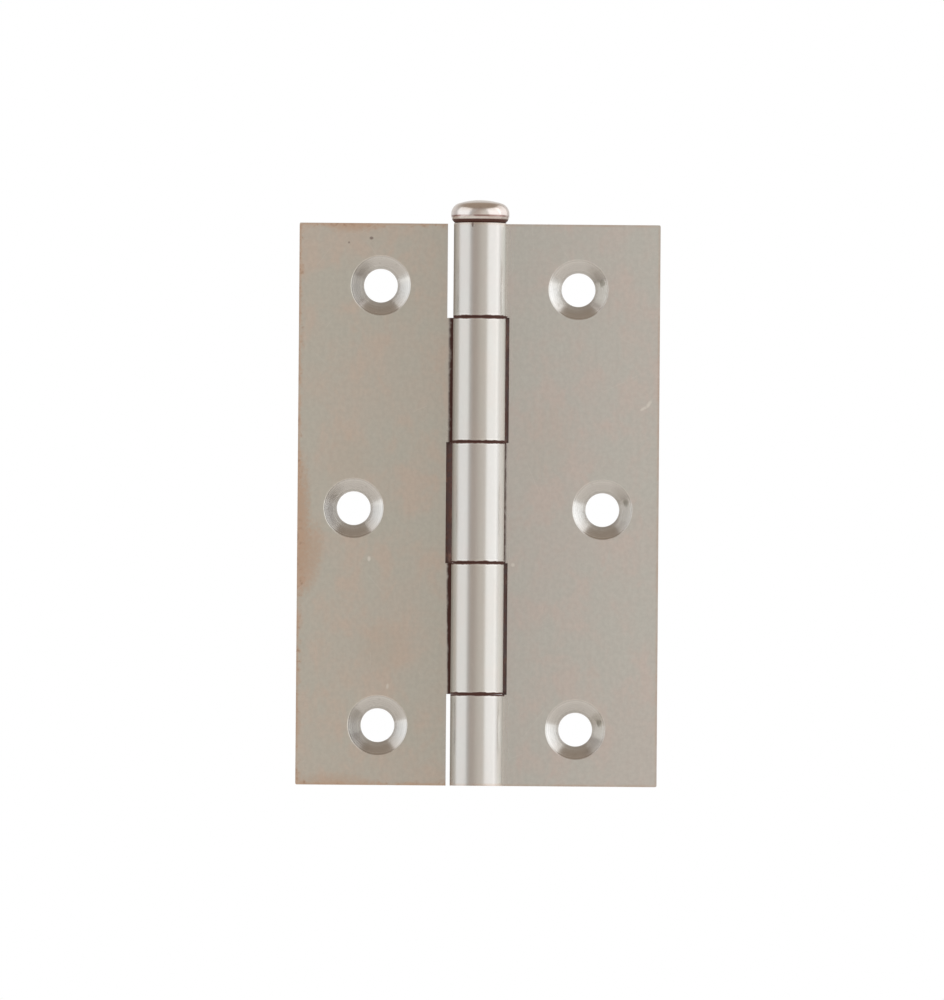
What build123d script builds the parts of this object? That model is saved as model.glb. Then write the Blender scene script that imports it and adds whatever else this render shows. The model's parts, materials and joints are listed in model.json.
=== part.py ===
from build123d import *
import math
import os

# A loose-pin steel butt hinge, opened flat. The pin stands along Z with its head up.
# The origin is on the pin's axis at the bottom of the barrel. The countersunk fronts
# of both leaves face -Y, the frame leaf reaches towards +X and the door leaf towards -X.

# Leaves, cut from one gauge of sheet
leaf_height = 75.0
leaf_reach = 24.1  # from the pin's axis to a leaf's outer edge
sheet = 1.7
corner_r = 0.2

# Barrel, rolled from the leaves' own tabs
knuckle_r = 3.5
bore_r = knuckle_r - sheet
joint_heights = (12.2, 29.7, 45.8, 62.45)
joint_gap = 0.05  # between the ends of two knuckles, which run close
knuckle_break = 0.2  # chamfer round each end of a knuckle
frame_roll_end = 29.0  # the curl stops this many degrees past the barrel's side, on its sheet
door_roll_end = 18.0  # a shorter curl, which leaves an open seam

# Notches that clear the other leaf's knuckles, measured from the barrel's widest line
frame_notch_gap = 0.5
door_notch_gap = 0.8
door_foot_gap = 0.55  # the door leaf's bottom notch is cut a little closer
slot_tuck = 0.1  # how far a closed slot's sheared wall slants in under the knuckle at the back

# Screw holes: an outer pair in line, and a middle hole set further out
screw_r = 2.25
countersink_r = 4.0
countersink_angle = 100.0
outer_spacing = 58.7
outer_reach = 13.2
middle_reach = 16.6
door_outer_z = 37.35
door_middle_z = 36.95
frame_outer_z = 36.95
frame_middle_z = 36.95

# Loose pin with a button head
pin_clearance = 0.05
pin_r = bore_r - pin_clearance
pin_tip_z = 0.8
pin_tip_chamfer = 0.5
head_r = 3.88
head_seat_r = 3.3
head_rim_z = 76.25  # where the head is widest
head_under_bulge = (3.74, 75.5)  # a point on the arc under the rim
head_upper_bulge = (3.68, 77.0)  # a point on the arc above the rim
head_shoulder_r = 3.05
head_shoulder_z = 77.6
head_top_z = 78.1
crown_drop = head_top_z - head_shoulder_z
crown_r = (head_shoulder_r**2 + crown_drop**2) / (2 * crown_drop)  # centred on the axis

sheet_front_y = knuckle_r - sheet
knuckle_ends = (0.0, *joint_heights, leaf_height)
last_knuckle = len(joint_heights)
frame_knuckles = (0, 2, 4)
door_knuckles = (1, 3)


def make_leaf(side, other_knuckles, roll_end, notch_gap, outer_z, middle_z):
    """A leaf on one side of the pin: sheet rolled once round the pin, notched and punched."""
    with BuildPart() as leaf:
        # The section across the pin: flat sheet, then a curl that stops short of the sheet.
        with BuildSketch():
            Circle(knuckle_r)
            with Locations((side * leaf_reach / 2, knuckle_r - sheet / 2)):
                Rectangle(leaf_reach, sheet)
            Circle(bore_r, mode=Mode.SUBTRACT)
            seam_x = side * sheet_front_y / math.tan(math.radians(roll_end))
            with BuildLine():
                Polyline((0, 0), (seam_x, sheet_front_y), (0, sheet_front_y), close=True)
            make_face(mode=Mode.SUBTRACT)
        extrude(amount=leaf_height)

        # Clear the other leaf's knuckles. An end notch is cut square through the sheet.
        # The wall of a slot between two knuckles slants in under the barrel.
        for index in other_knuckles:
            low = knuckle_ends[index] - joint_gap / 2
            high = knuckle_ends[index + 1] + joint_gap / 2
            at_an_end = index in (0, last_knuckle)
            front_x = knuckle_r + (door_foot_gap if index == 0 else notch_gap)
            back_x = front_x if at_an_end else knuckle_r - slot_tuck
            with BuildSketch(Plane.XY.offset(low)):
                with BuildLine():
                    Polyline(
                        (-side * 2 * knuckle_r, -2 * knuckle_r),
                        (side * front_x, -2 * knuckle_r),
                        (side * front_x, sheet_front_y),
                        (side * back_x, knuckle_r),
                        (side * back_x, 2 * knuckle_r),
                        (-side * 2 * knuckle_r, 2 * knuckle_r),
                        close=True,
                    )
                make_face()
            extrude(amount=high - low, mode=Mode.SUBTRACT)

        # Round the two outer corners and break the knuckles' sharp ends.
        outer_side = leaf.faces().filter_by(Axis.X).sort_by(Axis.X)[-1 if side > 0 else 0]
        fillet(outer_side.edges().filter_by(Axis.Y), corner_r)
        knuckle_rims = leaf.edges().filter_by(
            lambda edge: edge.geom_type == GeomType.CIRCLE
            and math.isclose(edge.radius, knuckle_r)
        )
        chamfer(knuckle_rims, knuckle_break)

        # Punch and countersink the screw holes from the front.
        front = Plane(origin=(0, sheet_front_y, 0), x_dir=(1, 0, 0), z_dir=(0, -1, 0))
        with Locations(front):
            with Locations(
                (side * outer_reach, outer_z + outer_spacing / 2),
                (side * middle_reach, middle_z),
                (side * outer_reach, outer_z - outer_spacing / 2),
            ):
                CounterSinkHole(screw_r, countersink_r, counter_sink_angle=countersink_angle)
    return leaf


def make_pin():
    """The loose pin, headed from one piece of wire, with a chamfered tip."""
    with BuildPart() as pin:
        with BuildSketch(Plane.XZ):
            with BuildLine():
                Polyline(
                    (0, head_top_z),
                    (0, pin_tip_z),
                    (pin_r - pin_tip_chamfer, pin_tip_z),
                    (pin_r, pin_tip_z + pin_tip_chamfer),
                    (pin_r, leaf_height),
                    (head_seat_r, leaf_height),
                )
                ThreePointArc((head_seat_r, leaf_height), head_under_bulge, (head_r, head_rim_z))
                ThreePointArc(
                    (head_r, head_rim_z), head_upper_bulge, (head_shoulder_r, head_shoulder_z)
                )
                RadiusArc((head_shoulder_r, head_shoulder_z), (0, head_top_z), -crown_r)
            make_face()
        revolve(axis=Axis.Z)
    return pin


os.makedirs("parts", exist_ok=True)

frame_leaf = make_leaf(
    1, door_knuckles, frame_roll_end, frame_notch_gap, frame_outer_z, frame_middle_z
)
frame_leaf.part.label = "frame_leaf"
export_step(frame_leaf.part, "parts/frame_leaf.step")

door_leaf = make_leaf(
    -1, frame_knuckles, door_roll_end, door_notch_gap, door_outer_z, door_middle_z
)
door_leaf.part.label = "door_leaf"
export_step(door_leaf.part, "parts/door_leaf.step")

loose_pin = make_pin()
loose_pin.part.label = "loose_pin"
export_step(loose_pin.part, "parts/loose_pin.step")
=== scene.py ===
# %% [markdown]
# # A loose-pin butt hinge in bare steel
#
# The hinge is three pieces of metal: two leaves stamped from sheet, whose tabs are rolled
# into knuckles, and a headed pin that drops through all the knuckles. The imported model
# gives every size and place. This lesson rebuilds each piece as fine mesh, the way a press
# shop makes the real one, and gives it the finish of handled, slightly tarnished steel.

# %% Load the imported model
import json
import math

import bmesh
import bpy
from mathutils import Matrix, Vector


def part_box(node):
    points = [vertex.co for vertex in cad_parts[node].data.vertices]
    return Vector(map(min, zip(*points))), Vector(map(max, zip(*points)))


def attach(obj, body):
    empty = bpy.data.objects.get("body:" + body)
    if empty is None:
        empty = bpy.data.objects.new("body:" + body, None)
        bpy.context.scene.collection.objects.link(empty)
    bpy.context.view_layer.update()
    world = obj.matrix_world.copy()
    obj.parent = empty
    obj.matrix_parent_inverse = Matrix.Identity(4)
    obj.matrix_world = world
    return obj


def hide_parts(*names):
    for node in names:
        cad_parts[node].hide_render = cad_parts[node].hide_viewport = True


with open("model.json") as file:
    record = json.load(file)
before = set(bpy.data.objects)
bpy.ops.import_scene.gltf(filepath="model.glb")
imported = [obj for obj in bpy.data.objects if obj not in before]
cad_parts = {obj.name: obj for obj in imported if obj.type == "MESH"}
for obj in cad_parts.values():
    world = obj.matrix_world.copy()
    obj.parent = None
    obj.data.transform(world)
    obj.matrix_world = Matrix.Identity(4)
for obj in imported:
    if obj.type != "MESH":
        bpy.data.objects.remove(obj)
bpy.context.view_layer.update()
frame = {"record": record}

# %% [markdown]
# ## Reading the sizes
#
# Meshes are built in millimetres, because bevels and merge distances are easier to judge
# there, and each finished mesh is scaled to metres once. Overall sizes come from the
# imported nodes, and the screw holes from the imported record. What neither of them says, such
# as the sheet's thickness and the heights of the joints, is given here as named sizes.

# %% Sizes from the frame
MM = 0.001
MICRON = 0.000001
NEAR = 1e-3  # two places closer than this, in millimetres, count as the same
MERGE = 1e-4  # vertices closer than this, in millimetres, become one
ON_PLANE = 1e-5  # vertices closer than this to a cutting plane, in millimetres, lie on it
_, leaf_high = (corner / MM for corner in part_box("frame_leaf"))
pin_low, pin_high = (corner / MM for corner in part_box("loose_pin"))
leaf_height = leaf_high.z
leaf_reach = leaf_high.x
knuckle_r = leaf_high.y
head_r = pin_high.x
head_top = pin_high.z
pin_tip = pin_low.z

mounts = {m["name"]: m for m in frame["record"]["mounts"]}


def screw_holes(leaf):
    """The leaf's three hole centres as (distance from the pin, height), in millimetres."""
    pair = mounts[leaf + "_screws"]
    pair_x, _, pair_z = pair["pos_m"]
    middle_x, _, middle_z = mounts[leaf + "_middle_screw"]["pos_m"]
    half = pair["dims"]["spacing_y_mm"] / 2
    return [
        (abs(pair_x) / MM, pair_z / MM + half),
        (abs(middle_x) / MM, middle_z / MM),
        (abs(pair_x) / MM, pair_z / MM - half),
    ]


hole_r = mounts["frame_leaf_screws"]["dims"]["hole_r_mm"]
print("leaf", leaf_height, "tall,", round(leaf_reach, 2), "from pin to edge")
print("frame leaf holes", [(round(x, 2), round(z, 2)) for x, z in screw_holes("frame_leaf")])

# %% Sizes of the pressing itself
sheet = 1.7
front_y = knuckle_r - sheet  # the leaves' front face; their backs touch y = knuckle_r
joint_heights = (12.2, 29.7, 45.8, 62.45)
joint_gap = 0.05
knuckle_ends = (0.0, *joint_heights, leaf_height)
countersink_r = 4.0
land = 0.23  # straight wall left below the countersink
slot_back = knuckle_r - 0.1  # a closed slot's sheared wall slants in to here
corner_r = 0.2
strip_x = 7.0  # the blank is cut for its tabs inside this line and for its holes outside it
cell = 5.1  # half the side of the square cut round each hole
print("leaf front at y =", round(front_y, 2), "and joints at", joint_heights)

# %% [markdown]
# ## The leaf, step by step
#
# A real leaf starts as a flat blank. Its tabs are pushed into a curling die and wrap round
# once until they meet their own sheet again. The mesh can follow the same steps: a flat
# grid, holes, thickness, and then a spin round the pin for each tab. A boolean would cut
# the holes too, but it leaves ragged faces, and a spin gives the curl clean quads that
# take a highlight without ripples.

# %% Small helpers for picking parts of a mesh
def hole_distance(point, holes):
    """How far a point is from the axis of the nearest hole."""
    return min(math.hypot(point.x - x, point.z - z) for x, z in holes)


def on_rim(vert, holes):
    """Whether a vertex stands on the circle of a countersink's rim."""
    return abs(hole_distance(vert.co, holes) - countersink_r) < NEAR


def faces_where(bm, test):
    """The faces whose middle passes the test."""
    return [f for f in bm.faces if test(f.calc_center_median())]


def with_edges(faces):
    """Faces with all their edges and vertices, as the bmesh cutting operators want them."""
    edges = {e for f in faces for e in f.edges}
    verts = {v for f in faces for v in f.verts}
    return [*verts, *edges, *faces]


def cut(bm, faces, point, normal):
    """Cuts these faces along a plane and keeps both sides."""
    bmesh.ops.bisect_plane(
        bm, geom=with_edges(faces), dist=ON_PLANE, plane_co=point, plane_no=normal
    )


# %% The flat blank, cut into the cells that the holes and tabs need
def flat_blank(notch_x, tab_levels, holes):
    """A rectangle on the front plane from the notch line to the outer edge."""
    bm = bmesh.new()
    bmesh.ops.create_grid(bm, x_segments=1, y_segments=1, size=0.5)
    bmesh.ops.rotate(bm, verts=bm.verts, matrix=Matrix.Rotation(math.radians(90), 3, "X"))
    bmesh.ops.scale(bm, verts=bm.verts, vec=(leaf_reach - notch_x, 1, leaf_height))
    middle = ((notch_x + leaf_reach) / 2, front_y, leaf_height / 2)
    bmesh.ops.translate(bm, verts=bm.verts, vec=middle)

    cut(bm, bm.faces[:], (strip_x, 0, 0), (1, 0, 0))
    for z in tab_levels:
        cut(bm, faces_where(bm, lambda c: c.x < strip_x), (0, 0, z), (0, 0, 1))
    for hole_x, hole_z in holes:
        for z in (hole_z - cell, hole_z + cell):
            cut(bm, faces_where(bm, lambda c: c.x > strip_x), (0, 0, z), (0, 0, 1))
        for x in (hole_x - cell, hole_x + cell):
            row = faces_where(bm, lambda c: c.x > strip_x and abs(c.z - hole_z) < cell)
            cut(bm, row, (x, 0, 0), (1, 0, 0))
    return bm


# %% [markdown]
# ## Round holes in a square cell
#
# Each hole sits in a square cell. The cell's face goes, its four sides are divided into
# as many edges as a circle has, and the two loops are bridged. That keeps the plate flat
# right up to the rim, which matters on polished metal, where a fan of uneven triangles
# would show as dark wedges.

# %% Punch a hole
HOLE_EDGES = 64


def punch_hole(bm, hole_x, hole_z):
    """Replaces the cell round a hole's centre by a flat ring with a round opening."""
    centre = Vector((hole_x, front_y, hole_z))
    cell_face = min(bm.faces, key=lambda f: (f.calc_center_median() - centre).length)
    sides = list(cell_face.edges)
    bmesh.ops.delete(bm, geom=[cell_face], context="FACES_ONLY")
    divided = bmesh.ops.subdivide_edges(bm, edges=sides, cuts=HOLE_EDGES // 4 - 1)
    square = {e for e in divided["geom_split"] if isinstance(e, bmesh.types.BMEdge)}
    # Bridging needs to see which loop is in front, so the circle starts 1 mm forward.
    forward = centre - Vector((0, 1, 0))
    turn = Matrix.Translation(forward) @ Matrix.Rotation(math.radians(90), 4, "X")
    circle = bmesh.ops.create_circle(
        bm, cap_ends=False, segments=HOLE_EDGES, radius=countersink_r, matrix=turn
    )
    rim = {e for v in circle["verts"] for e in v.link_edges}
    bmesh.ops.bridge_loops(bm, edges=[*square, *rim])
    bmesh.ops.translate(bm, verts=circle["verts"], vec=(0, 1, 0))


# %% Thickness, countersinks and lands
def through_sheet(edge):
    """Whether an edge runs from the sheet's front to its back."""
    return abs(edge.verts[0].co.y - edge.verts[1].co.y) > sheet / 2


def thicken(bm, holes):
    """Extrudes the blank to the back, then draws each hole's back edge in to make a cone."""
    front = bm.faces[:]
    grown = bmesh.ops.extrude_face_region(bm, geom=front)
    back = [v for v in grown["geom"] if isinstance(v, bmesh.types.BMVert)]
    bmesh.ops.translate(bm, verts=back, vec=(0, sheet, 0))
    draw_in = hole_r / countersink_r
    for hole in holes:
        walls = [e for e in bm.edges if through_sheet(e) and all(on_rim(v, [hole]) for v in e.verts)]
        halved = bmesh.ops.subdivide_edges(bm, edges=walls, cuts=1, use_grid_fill=True)
        step = [v for v in halved["geom_inner"] if isinstance(v, bmesh.types.BMVert)]
        bmesh.ops.translate(bm, verts=step, vec=(0, sheet / 2 - land, 0))
        deep = [v for v in bm.verts if on_rim(v, [hole]) and v.co.y > front_y + NEAR]
        axis = Vector((hole[0], 0, hole[1]))
        bmesh.ops.scale(
            bm, verts=deep, vec=(draw_in, 1, draw_in), space=Matrix.Translation(-axis)
        )


# %% [markdown]
# ## Rolling the knuckles
#
# The tabs grow out of the blank's inner wall. Each tab's end face is pulled to the pin's
# centre line and then spun about the pin, which is what the curling die does to the
# metal. The frame leaf's curls close tight on their own sheet. The door leaf's stop a
# little early and leave an open seam, which its finish darkens with dirt and painted shade.

# %% Roll a tab
ROLL_STEP = math.radians(5)


def roll_tab(bm, notch_x, low, high, roll_end):
    """Pulls the wall between two heights in to the pin and curls it nearly once round."""
    wall = faces_where(
        bm, lambda c: abs(c.x - notch_x) < NEAR and c.y > front_y + NEAR and low < c.z < high
    )
    pulled = bmesh.ops.extrude_face_region(bm, geom=wall)
    ends = [v for v in pulled["geom"] if isinstance(v, bmesh.types.BMVert)]
    bmesh.ops.translate(bm, verts=ends, vec=(-notch_x, 0, 0))
    bmesh.ops.delete(bm, geom=[f for f in wall if f.is_valid], context="FACES_ONLY")
    end_faces = [f for f in pulled["geom"] if isinstance(f, bmesh.types.BMFace)]
    angle = math.radians(270 + roll_end)
    bmesh.ops.spin(
        bm,
        geom=with_edges(end_faces),
        cent=(0, 0, 0),
        axis=(0, 0, 1),
        angle=angle,
        steps=round(angle / ROLL_STEP),
        use_duplicate=False,
    )
    bmesh.ops.delete(bm, geom=[f for f in end_faces if f.is_valid], context="FACES_ONLY")


# %% [markdown]
# ## Edges that a press leaves
#
# No sheared edge is perfectly sharp: tumbling rounds it by a tenth or two of a
# millimetre, and handling then polishes it brighter than the flat. Real bevels are worth
# their faces here, because on steel the thin bright line along an edge is half of what
# says metal. Each bevel also writes 1 into an attribute along its middle, which the
# finish reads later as wear.

# %% Bevel chosen edges and remember them as worn
edge_round = 0.17
hole_round = 0.07
SHARP = math.radians(50)
CREASED = math.radians(42)  # shading breaks here, as between a countersink and its land


def round_over(bm, edges, width, segments):
    """Bevels edges and marks the inner vertices of each new strip as worn."""
    wear = bm.verts.layers.float["edge_wear"]
    made = bmesh.ops.bevel(
        bm,
        geom=list(edges),
        offset=width,
        offset_type="OFFSET",
        affect="EDGES",
        segments=segments,
        profile=0.5,
        material=-1,
        clamp_overlap=True,
    )
    strip = set(made["faces"])
    for v in {v for f in strip for v in f.verts}:
        if strip.issuperset(v.link_faces):
            v[wear] = 1.0


def sharp_outer_edges(bm):
    """Edges where two faces turn away from each other by more than the sharp angle."""
    return [e for e in bm.edges if len(e.link_faces) == 2 and e.calc_face_angle_signed() > SHARP]


# %% [markdown]
# ## One leaf from start to finish
#
# Both leaves go through the same steps, with their own knuckles, their own curl and their
# own notches. They are worked as if they both reached towards +X, and the door leaf is
# mirrored at the end. A mirror turns faces inside out, so its faces are reversed after it.

# %% Cut, punch, thicken and roll
SHEET_SKIN, SHEARED, TURNED, HIDDEN = 0, 1, 2, 3
crease_x = knuckle_r - 0.05  # the last visible line of plate beside a knuckle


def own_bands(own_knuckles):
    """The lowest and highest point of each of a leaf's own knuckles."""
    last = len(joint_heights)
    return [
        (
            knuckle_ends[i] + (joint_gap / 2 if i > 0 else 0),
            knuckle_ends[i + 1] - (joint_gap / 2 if i < last else 0),
        )
        for i in own_knuckles
    ]


def press_leaf(holes, bands, notch_gap, foot_gap, roll_end):
    """The leaf's closed shell with sharp edges."""
    notch_x = knuckle_r + notch_gap
    levels = [z for band in bands for z in band if 0 < z < leaf_height]
    bm = flat_blank(notch_x, levels, holes)
    for hole_x, hole_z in holes:
        punch_hole(bm, hole_x, hole_z)
    thicken(bm, holes)
    for low, high in bands:
        roll_tab(bm, notch_x, low, high, roll_end)
    for slot_low, slot_high in zip((high for _, high in bands), (low for low, _ in bands[1:])):
        back_line = [
            v
            for v in bm.verts
            if abs(v.co.x - notch_x) < NEAR
            and abs(v.co.y - knuckle_r) < NEAR
            and slot_low - NEAR < v.co.z < slot_high + NEAR
        ]
        bmesh.ops.translate(bm, verts=back_line, vec=(slot_back - notch_x, 0, 0))
    lowest = bands[0][0] + NEAR
    foot_wall = [v for v in bm.verts if abs(v.co.x - notch_x) < NEAR and v.co.z < lowest]
    bmesh.ops.translate(bm, verts=foot_wall, vec=(foot_gap - notch_gap, 0, 0))
    bmesh.ops.remove_doubles(bm, verts=bm.verts, dist=MERGE)
    cut(bm, faces_where(bm, lambda c: c.y > 0 and 0.5 < c.x < notch_x), (crease_x, 0, 0), (1, 0, 0))
    bmesh.ops.recalc_face_normals(bm, faces=bm.faces)
    return bm


# %% Round the edges over, from the largest radius to the smallest
def soften_leaf(bm, holes):
    """Rounds the outer corners, then every sheared edge, then the countersinks' rims."""
    wear = bm.verts.layers.float.new("edge_wear")
    corners = [
        e
        for e in sharp_outer_edges(bm)
        if through_sheet(e) and all(v.co.x > leaf_reach - NEAR for v in e.verts)
    ]
    round_over(bm, corners, corner_r, 4)
    for v in bm.verts:
        v[wear] = 0.0  # the corners are shape, not wear

    others = [
        e
        for e in sharp_outer_edges(bm)
        if hole_distance(e.verts[0].co, holes) > countersink_r + 0.1
    ]
    round_over(bm, others, edge_round, 3)
    hole_rims = [
        e
        for e in bm.edges
        if all(on_rim(v, holes) and abs(v.co.y - front_y) < NEAR for v in e.verts)
    ]
    round_over(bm, hole_rims, hole_round, 2)


# %% Say which faces are skin, sheared metal or turned metal, and where dirt gathers
def label_leaf(bm, holes, bands, notch_gap, crease_dirt):
    """Sets material indices, the ring radius in the countersinks, and the crease dirt with painted shade
    beside the knuckles.
    """
    notch_x = knuckle_r + notch_gap
    bore_r = knuckle_r - sheet
    ring = bm.verts.layers.float.new("ring_radius")
    dirt = bm.verts.layers.float.new("crease_dirt")
    for v in bm.verts:
        v[ring] = hole_distance(v.co, holes)
        for (low, high), amount in zip(bands, crease_dirt):
            in_band = low - 0.01 < v.co.z < high + 0.01
            # A knuckle's rear half is its seam and the flank that turns past the other leaf.
            rear_half = 0 < v.co.y < knuckle_r - 0.2 and v.co.x < crease_x + 0.05
            # Beside each knuckle the crease attribute carries dirt and painted shade.
            if in_band and rear_half:
                v[dirt] = amount
    for f in bm.faces:
        middle = f.calc_center_median()
        normal = f.normal
        turn_radius = math.hypot(middle.x, middle.y)
        from_hole = hole_distance(middle, holes)
        end_grain = abs(normal.z) > 0.98
        inner_end = end_grain and middle.x < notch_x and 1 < middle.z < leaf_height - 1
        outer_wall = middle.x > leaf_reach - 0.01
        slot_wall = normal.x < -0.5 and knuckle_r - 0.2 < middle.x < notch_x + 0.02
        in_bore = turn_radius < bore_r + 0.06
        curl_end = turn_radius < knuckle_r - 0.05 and middle.x > 0.5 and abs(normal.z) < 0.1
        below_rim = from_hole < countersink_r - 0.05 and middle.y > front_y + NEAR
        f.smooth = True
        if below_rim and abs(normal.y) < 0.9:
            f.material_index = TURNED
        # These hollows take the dark oily finish, which also paints shade into them.
        elif inner_end or slot_wall or in_bore or curl_end:
            f.material_index = HIDDEN
        elif end_grain or outer_wall:
            f.material_index = SHEARED
        else:
            f.material_index = SHEET_SKIN
    for e in bm.edges:
        if len(e.link_faces) == 2 and e.calc_face_angle() > CREASED:
            e.smooth = False


# %% [markdown]
# ## Handing a piece to the frame
#
# The finished mesh becomes an object at the origin, rides on its body, and stands for its
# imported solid. A Weighted Normal modifier lets the wide flats keep their own normals, so
# that all the shading turn happens inside the narrow bevels, as on ground metal.

# %% Make the object and tie it to the frame
def hand_over(bm, name, part, finishes):
    """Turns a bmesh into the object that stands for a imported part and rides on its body."""
    bmesh.ops.scale(bm, verts=bm.verts, vec=(MM, MM, MM))
    open_edges = [e for e in bm.edges if len(e.link_faces) != 2]
    volume = bm.calc_volume(signed=True) / MM**3
    print(name, len(bm.faces), "faces,", len(open_edges), "open edges,", round(volume), "mm3")
    mesh = bpy.data.meshes.new(name)
    bm.to_mesh(mesh)
    bm.free()
    piece = bpy.data.objects.new(name, mesh)
    bpy.context.scene.collection.objects.link(piece)
    for material in finishes:
        mesh.materials.append(material)
    weighted = piece.modifiers.new("even_flats", "WEIGHTED_NORMAL")
    weighted.keep_sharp = True
    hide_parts(part)
    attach(piece, part)


# %% [markdown]
# ## Finishes as small node groups
#
# Every surface here is one steel with different histories, so the histories are node
# groups that any of the finishes can use: the satin left by rolling, the cloudy tarnish,
# fine scratches, polished edges, rust that starts at a cut edge, grime in the joints, and
# single marks. All of them read Object coordinates turned into millimetres, so their
# sizes are real sizes.

# %% Small helpers for building node trees
def node(tree, kind, inputs=None, **settings):
    """Adds a node, sets its properties, and links or sets its inputs."""
    made = tree.nodes.new("ShaderNode" + kind)
    for key, value in settings.items():
        setattr(made, key, value)
    for key, value in (inputs or {}).items():
        if isinstance(value, bpy.types.NodeSocket):
            tree.links.new(value, made.inputs[key])
        else:
            made.inputs[key].default_value = value
    return made


def calc(tree, operation, a, b=0.0, clamp=False):
    """One Math node; returns its output."""
    return node(tree, "Math", {0: a, 1: b}, operation=operation, use_clamp=clamp).outputs[0]


def ramp(tree, value, low, high, to_low=0.0, to_high=1.0):
    """A smooth step of a value between two levels; returns its output."""
    sizes = {"Value": value, "From Min": low, "From Max": high, "To Min": to_low, "To Max": to_high}
    return node(tree, "MapRange", sizes, interpolation_type="SMOOTHSTEP").outputs[0]


def mix(tree, a, share_a, b, share_b):
    """The sum of two values, each times its share."""
    return calc(tree, "ADD", calc(tree, "MULTIPLY", a, share_a), calc(tree, "MULTIPLY", b, share_b))


def fold(tree, operation, values):
    """Joins several values into one with a Math operation, such as MAXIMUM."""
    total = values[0]
    for value in values[1:]:
        total = calc(tree, operation, total, value)
    return total


def tint(tree, mask, below, above):
    """Mixes two colours by a mask; 6, 7 and 2 are the Mix node's colour sockets."""
    mixed = node(tree, "Mix", {0: mask, 6: below, 7: above}, data_type="RGBA")
    return mixed.outputs[2]


def noise(tree, place, scale, detail=3.0, roughness=0.5, distortion=0.0):
    """A noise value of about 0 to 1, with scale in cells per millimetre."""
    inputs = {"Vector": place, "Scale": scale, "Detail": detail}
    inputs.update({"Roughness": roughness, "Distortion": distortion})
    return node(tree, "TexNoise", inputs).outputs["Fac"]


def stretch(tree, place, along):
    """Scales coordinates by a vector, which stretches a texture the other way."""
    return node(tree, "Mapping", {"Vector": place, "Scale": along}).outputs[0]


# %% A helper that starts a node group and one that places it
def start_group(name, inputs, outputs):
    """A new group with typed sockets; returns the tree, its inputs and its output node."""
    tree = bpy.data.node_groups.new(name, "ShaderNodeTree")
    for socket, (kind, value) in inputs.items():
        made = tree.interface.new_socket(socket, in_out="INPUT", socket_type="NodeSocket" + kind)
        if value is not None:
            made.default_value = value
    for socket in outputs:
        tree.interface.new_socket(socket, in_out="OUTPUT", socket_type="NodeSocketFloat")
    given = tree.nodes.new("NodeGroupInput").outputs
    result = tree.nodes.new("NodeGroupOutput")
    return tree, given, result


def give(tree, result, **values):
    """Links values to a group's own outputs."""
    for socket, value in values.items():
        tree.links.new(value, result.inputs[socket])


def place_group(tree, group, **values):
    """Puts a group into a tree with its values, named with _ for a space; returns its outputs."""
    made = tree.nodes.new("ShaderNodeGroup")
    made.node_tree = group
    for key, value in values.items():
        key = key.replace("_", " ")
        if isinstance(value, bpy.types.NodeSocket):
            tree.links.new(value, made.inputs[key])
        else:
            made.inputs[key].default_value = value
    return made.outputs


# %% [markdown]
# ### The satin of rolled sheet
#
# Cold-rolled strip carries very fine streaks along the rolling direction, which here is
# the pin's direction. Stretching a noise does this: many cells across, few along. A
# second, even finer speckle stands for the pickled surface between the streaks.

# %% Rolled satin
def build_rolled_satin():
    tree, given, result = start_group(
        "rolled_satin", {"Place": ("Vector", None)}, ("Height", "Streak")
    )
    wide = noise(tree, stretch(tree, given["Place"], (1, 1, 0.06)), 2.2, 3)
    fine = noise(tree, stretch(tree, given["Place"], (1, 1, 0.1)), 9.0, 2)
    speckle = noise(tree, given["Place"], 7.0, 2)
    streak = mix(tree, wide, 0.6, fine, 0.4)
    height = mix(tree, streak, 0.8, speckle, 0.2)
    give(tree, result, Height=height, Streak=streak)
    return tree


rolled_satin = build_rolled_satin()
print("rolled_satin", len(rolled_satin.nodes), "nodes")


# %% [markdown]
# ### Cloudy tarnish
#
# Bare steel that has been stored goes faintly cloudy: patches a few millimetres across
# that lean pink or green by a hair. Two noises at different sizes, mixed, avoid the look
# of a single repeating blob. The group gives the two leanings as separate masks.

# %% Cloudy tarnish
def build_tarnish():
    tree, given, result = start_group(
        "cloudy_tarnish", {"Place": ("Vector", None)}, ("Pink", "Green", "Cloud")
    )
    drift = noise(tree, given["Place"], 0.085, 3, 0.55, 0.5)
    patch = noise(tree, stretch(tree, given["Place"], (1, 1, 0.75)), 0.3, 3, 0.6, 0.3)
    cloud = mix(tree, drift, 0.5, patch, 0.5)
    against = mix(tree, patch, 1.5, drift, -0.5)
    pink = ramp(tree, against, 0.36, 0.80)
    green = ramp(tree, cloud, 0.60, 0.34)
    give(tree, result, Pink=pink, Green=green, Cloud=cloud)
    return tree


cloudy_tarnish = build_tarnish()
print("cloudy_tarnish", len(cloudy_tarnish.nodes), "nodes")

# %% [markdown]
# ### Fine scratches
#
# Scratches from packing and handling are short, straight and few. A Voronoi texture deals
# out one cell for each: the point's offset from the cell's centre is turned by the cell's
# own random angle, and a thin, long ellipse round the centre becomes the scratch. About
# half of the cells stay empty, so the spacing never looks even.

# %% Fine scratches
def turned(tree, across, along, angle):
    """Two coordinates after a turn by an angle."""
    cos = calc(tree, "COSINE", angle)
    sin = calc(tree, "SINE", angle)
    sideways = calc(
        tree, "SUBTRACT", calc(tree, "MULTIPLY", across, cos), calc(tree, "MULTIPLY", along, sin)
    )
    return sideways, mix(tree, across, sin, along, cos)


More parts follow.
